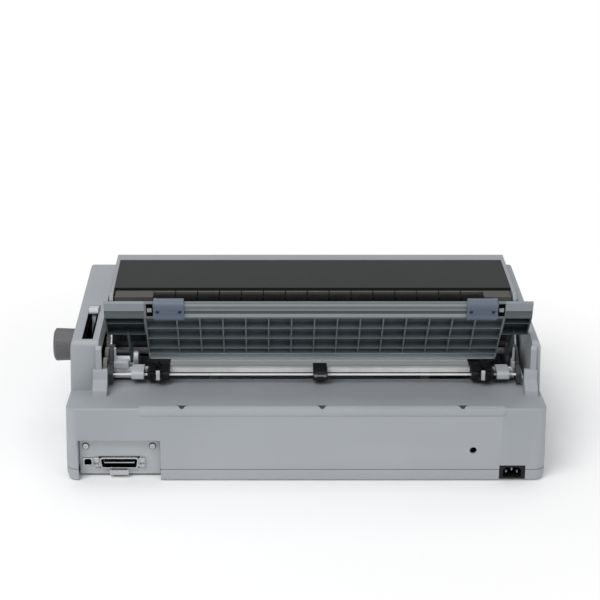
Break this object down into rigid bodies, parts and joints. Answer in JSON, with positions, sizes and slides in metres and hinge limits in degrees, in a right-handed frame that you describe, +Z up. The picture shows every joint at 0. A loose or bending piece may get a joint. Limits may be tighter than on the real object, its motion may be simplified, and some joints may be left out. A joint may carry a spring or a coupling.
{
  "type": "dot matrix printer",
  "caption": "Wide-carriage dot matrix printer with hinged covers, a raised paper guide, tractor feed, platen knob and rear interface sockets.",
  "frame": {"origin": "on the desk, under the middle of the whole printer with its knob", "axes": "+X towards the platen knob side (the printer's right seen from its front), -Y the front, +Y the rear with the sockets, +Z up"},
  "size_m": [0.6382, 0.409, 0.2254],
  "materials": {
    "case_plastic": "fine moulded texture",
    "cover_plastic": "fine moulded texture",
    "smoked_window": "smoked, glossy",
    "guide_plastic": "satin moulded",
    "edge_guide_plastic": "satin moulded",
    "knob_plastic": "satin moulded",
    "black_plastic": "satin moulded",
    "white_plastic": "satin moulded",
    "button_plastic": "satin moulded",
    "lamp_plastic": "clear tinted",
    "gear_plastic": "natural acetal",
    "brass_pinion": "machined",
    "shaft_steel": "ground",
    "sheet_steel": "zinc plated",
    "plated_steel": "nickel plated",
    "head_metal": "cast",
    "platen_rubber": "ground rubber",
    "circuit_board": "solder mask"
  },
  "bodies": {
    "chassis": {"lower_case": "case_plastic", "upper_case": "case_plastic", "feet": "platen_rubber", "screws": "plated_steel", "interface_panel": "sheet_steel", "usb_socket": "plated_steel", "parallel_connector": "plated_steel", "mains_inlet": "black_plastic", "control_panel": "white_plastic", "panel_lamps": "lamp_plastic", "tension_unit": "black_plastic", "feed_motor": "sheet_steel", "support_shaft": "shaft_steel", "end_brackets": "white_plastic", "side_frames": "sheet_steel", "base_frame": "sheet_steel", "paper_chute": "sheet_steel", "guide_shaft": "shaft_steel", "carriage_rail": "sheet_steel", "ribbon_cartridge": "black_plastic", "timing_belt": "platen_rubber", "carriage_motor": "sheet_steel", "main_board": "circuit_board", "power_supply": "circuit_board"},
    "printer_cover": {"cover_frame": "cover_plastic", "cover_window": "smoked_window"},
    "platen": {"platen": "platen_rubber", "platen_knob": "knob_plastic", "platen_gear": "gear_plastic"},
    "drive_shaft": {"drive_shaft": "shaft_steel", "tractor_gear": "gear_plastic"},
    "carriage": {"carriage": "black_plastic", "print_head": "head_metal"},
    "wire_clip_right": {"wire_clip_right": "plated_steel"},
    "wire_clip_left": {"wire_clip_left": "plated_steel"},
    "power_switch": {"power_switch": "black_plastic"},
    "button_1": {"button_1": "button_plastic"},
    "button_2": {"button_2": "button_plastic"},
    "button_3": {"button_3": "button_plastic"},
    "button_4": {"button_4": "button_plastic"},
    "front_cover": {"front_cover": "case_plastic"},
    "tension_rollers": {"tension_rollers": "platen_rubber"},
    "paper_guide": {"paper_guide": "guide_plastic"},
    "edge_guide_right": {"edge_guide_right": "edge_guide_plastic"},
    "edge_guide_left": {"edge_guide_left": "edge_guide_plastic"},
    "release_lever": {"release_lever": "white_plastic"},
    "idler_gear": {"idler_gear": "gear_plastic"},
    "feed_pinion": {"feed_pinion": "brass_pinion"},
    "sprocket_unit_right": {"sprocket_unit_right": "black_plastic"},
    "sprocket_unit_left": {"sprocket_unit_left": "black_plastic"},
    "sprocket_wheel_right": {"sprocket_wheel_right": "black_plastic"},
    "sprocket_wheel_left": {"sprocket_wheel_left": "black_plastic"},
    "sprocket_cover_right": {"sprocket_cover_right": "black_plastic"},
    "sprocket_cover_left": {"sprocket_cover_left": "black_plastic"},
    "lock_lever_right": {"lock_lever_right": "white_plastic"},
    "lock_lever_left": {"lock_lever_left": "white_plastic"},
    "centre_support": {"centre_support": "black_plastic"},
    "ribbon_knob": {"ribbon_knob": "black_plastic"},
    "motor_pulley": {"motor_pulley": "gear_plastic"},
    "idler_pulley": {"idler_pulley": "gear_plastic"}
  },
  "joints": [
    {"name": "cover_hinge", "type": "hinge", "parent": "chassis", "child": "printer_cover", "pos_m": [-0.0155, -0.012, 0.157], "axis": [-1, 0, 0], "range_deg": [0, 75]},
    {"name": "front_cover_hinge", "type": "hinge", "parent": "chassis", "child": "front_cover", "pos_m": [-0.1105, -0.196, 0.027], "axis": [1, 0, 0], "range_deg": [0, 85]},
    {"name": "guide_hinge", "type": "hinge", "parent": "chassis", "child": "paper_guide", "pos_m": [-0.0155, 0.06, 0.117], "axis": [1, 0, 0], "range_deg": [-31, 18]},
    {"name": "edge_right_slide", "type": "slide", "parent": "paper_guide", "child": "edge_guide_right", "axis": [1, 0, 0], "range_m": [-0.12, 0.01]},
    {"name": "edge_left_slide", "type": "slide", "parent": "paper_guide", "child": "edge_guide_left", "axis": [1, 0, 0], "range_m": [-0.01, 0.12]},
    {"name": "release_hinge", "type": "hinge", "parent": "chassis", "child": "release_lever", "pos_m": [0.2635, 0.062, 0.03], "axis": [-1, 0, 0], "range_deg": [0, 36]},
    {"name": "platen_spin", "type": "hinge", "parent": "chassis", "child": "platen", "pos_m": [-0.0155, 0.014, 0.11], "axis": [1, 0, 0], "continuous": true},
    {"name": "idler_spin", "type": "hinge", "parent": "chassis", "child": "idler_gear", "pos_m": [0.2445, 0.05148, 0.10057], "axis": [1, 0, 0], "continuous": true},
    {"name": "pinion_spin", "type": "hinge", "parent": "chassis", "child": "feed_pinion", "pos_m": [0.2345, 0.02757, 0.08649], "axis": [1, 0, 0], "continuous": true},
    {"name": "drive_spin", "type": "hinge", "parent": "chassis", "child": "drive_shaft", "pos_m": [-0.0155, 0.084, 0.1035], "axis": [1, 0, 0], "continuous": true},
    {"name": "sprocket_right_slide", "type": "slide", "parent": "chassis", "child": "sprocket_unit_right", "axis": [1, 0, 0], "range_m": [-0.15, 0.003]},
    {"name": "sprocket_right_spin", "type": "hinge", "parent": "sprocket_unit_right", "child": "sprocket_wheel_right", "pos_m": [0.1745, 0.084, 0.1035], "axis": [1, 0, 0], "continuous": true},
    {"name": "sprocket_right_flap", "type": "hinge", "parent": "sprocket_unit_right", "child": "sprocket_cover_right", "pos_m": [0.1865, 0.1, 0.1127], "axis": [0, 1, 0], "range_deg": [0, 80]},
    {"name": "lock_right_hinge", "type": "hinge", "parent": "sprocket_unit_right", "child": "lock_lever_right", "pos_m": [0.1745, 0.1165, 0.104], "axis": [-1, 0, 0], "range_deg": [0, 60]},
    {"name": "sprocket_left_slide", "type": "slide", "parent": "chassis", "child": "sprocket_unit_left", "axis": [1, 0, 0], "range_m": [-0.003, 0.15]},
    {"name": "sprocket_left_spin", "type": "hinge", "parent": "sprocket_unit_left", "child": "sprocket_wheel_left", "pos_m": [-0.2455, 0.084, 0.1035], "axis": [1, 0, 0], "continuous": true},
    {"name": "sprocket_left_flap", "type": "hinge", "parent": "sprocket_unit_left", "child": "sprocket_cover_left", "pos_m": [-0.2575, 0.1, 0.1127], "axis": [0, -1, 0], "range_deg": [0, 80]},
    {"name": "lock_left_hinge", "type": "hinge", "parent": "sprocket_unit_left", "child": "lock_lever_left", "pos_m": [-0.2455, 0.1165, 0.104], "axis": [-1, 0, 0], "range_deg": [0, 60]},
    {"name": "centre_support_slide", "type": "slide", "parent": "chassis", "child": "centre_support", "axis": [1, 0, 0], "range_m": [-0.06, 0.06]},
    {"name": "carriage_slide", "type": "slide", "parent": "chassis", "child": "carriage", "axis": [1, 0, 0], "range_m": [0, 0.345]},
    {"name": "motor_pulley_spin", "type": "hinge", "parent": "chassis", "child": "motor_pulley", "pos_m": [-0.2655, -0.084, 0.056], "axis": [0, 0, 1], "continuous": true},
    {"name": "idler_pulley_spin", "type": "hinge", "parent": "chassis", "child": "idler_pulley", "pos_m": [0.2145, -0.084, 0.056], "axis": [0, 0, 1], "continuous": true},
    {"name": "tension_roller_spin", "type": "hinge", "parent": "chassis", "child": "tension_rollers", "pos_m": [-0.0155, -0.012, 0.1655], "axis": [1, 0, 0], "continuous": true},
    {"name": "ribbon_knob_spin", "type": "hinge", "parent": "chassis", "child": "ribbon_knob", "pos_m": [-0.2705, -0.107, 0.13], "axis": [0, 0, 1], "continuous": true},
    {"name": "button_1_press", "type": "slide", "parent": "chassis", "child": "button_1", "axis": [0, 0.8733, -0.4872], "range_m": [0, 0.0016], "stiffness_N_per_m": 250},
    {"name": "button_2_press", "type": "slide", "parent": "chassis", "child": "button_2", "axis": [0, 0.8733, -0.4872], "range_m": [0, 0.0016], "stiffness_N_per_m": 250},
    {"name": "button_3_press", "type": "slide", "parent": "chassis", "child": "button_3", "axis": [0, 0.8733, -0.4872], "range_m": [0, 0.0016], "stiffness_N_per_m": 250},
    {"name": "button_4_press", "type": "slide", "parent": "chassis", "child": "button_4", "axis": [0, 0.8733, -0.4872], "range_m": [0, 0.0016], "stiffness_N_per_m": 250},
    {"name": "switch_rock", "type": "hinge", "parent": "chassis", "child": "power_switch", "pos_m": [0.2385, -0.1995, 0.05], "axis": [1, 0, 0], "range_deg": [0, 14]},
    {"name": "clip_right_hinge", "type": "hinge", "parent": "chassis", "child": "wire_clip_right", "pos_m": [0.2505, 0.1902, 0.0165], "axis": [-1, 0, 0], "range_deg": [0, 80]},
    {"name": "clip_left_hinge", "type": "hinge", "parent": "chassis", "child": "wire_clip_left", "pos_m": [0.1925, 0.1902, 0.0165], "axis": [-1, 0, 0], "range_deg": [0, 80]}
  ],
  "couplings": [
    {"joint": "idler_spin", "follows": "platen_spin", "ratio": -1.0811},
    {"joint": "pinion_spin", "follows": "platen_spin", "ratio": -2.8571},
    {"joint": "drive_spin", "follows": "platen_spin", "ratio": 1.4286},
    {"joint": "sprocket_right_spin", "follows": "platen_spin", "ratio": 1.4286},
    {"joint": "sprocket_left_spin", "follows": "platen_spin", "ratio": 1.4286},
    {"joint": "motor_pulley_spin", "follows": "carriage_slide", "rad_per_m": -114.94},
    {"joint": "idler_pulley_spin", "follows": "carriage_slide", "rad_per_m": -114.94}
  ]
}
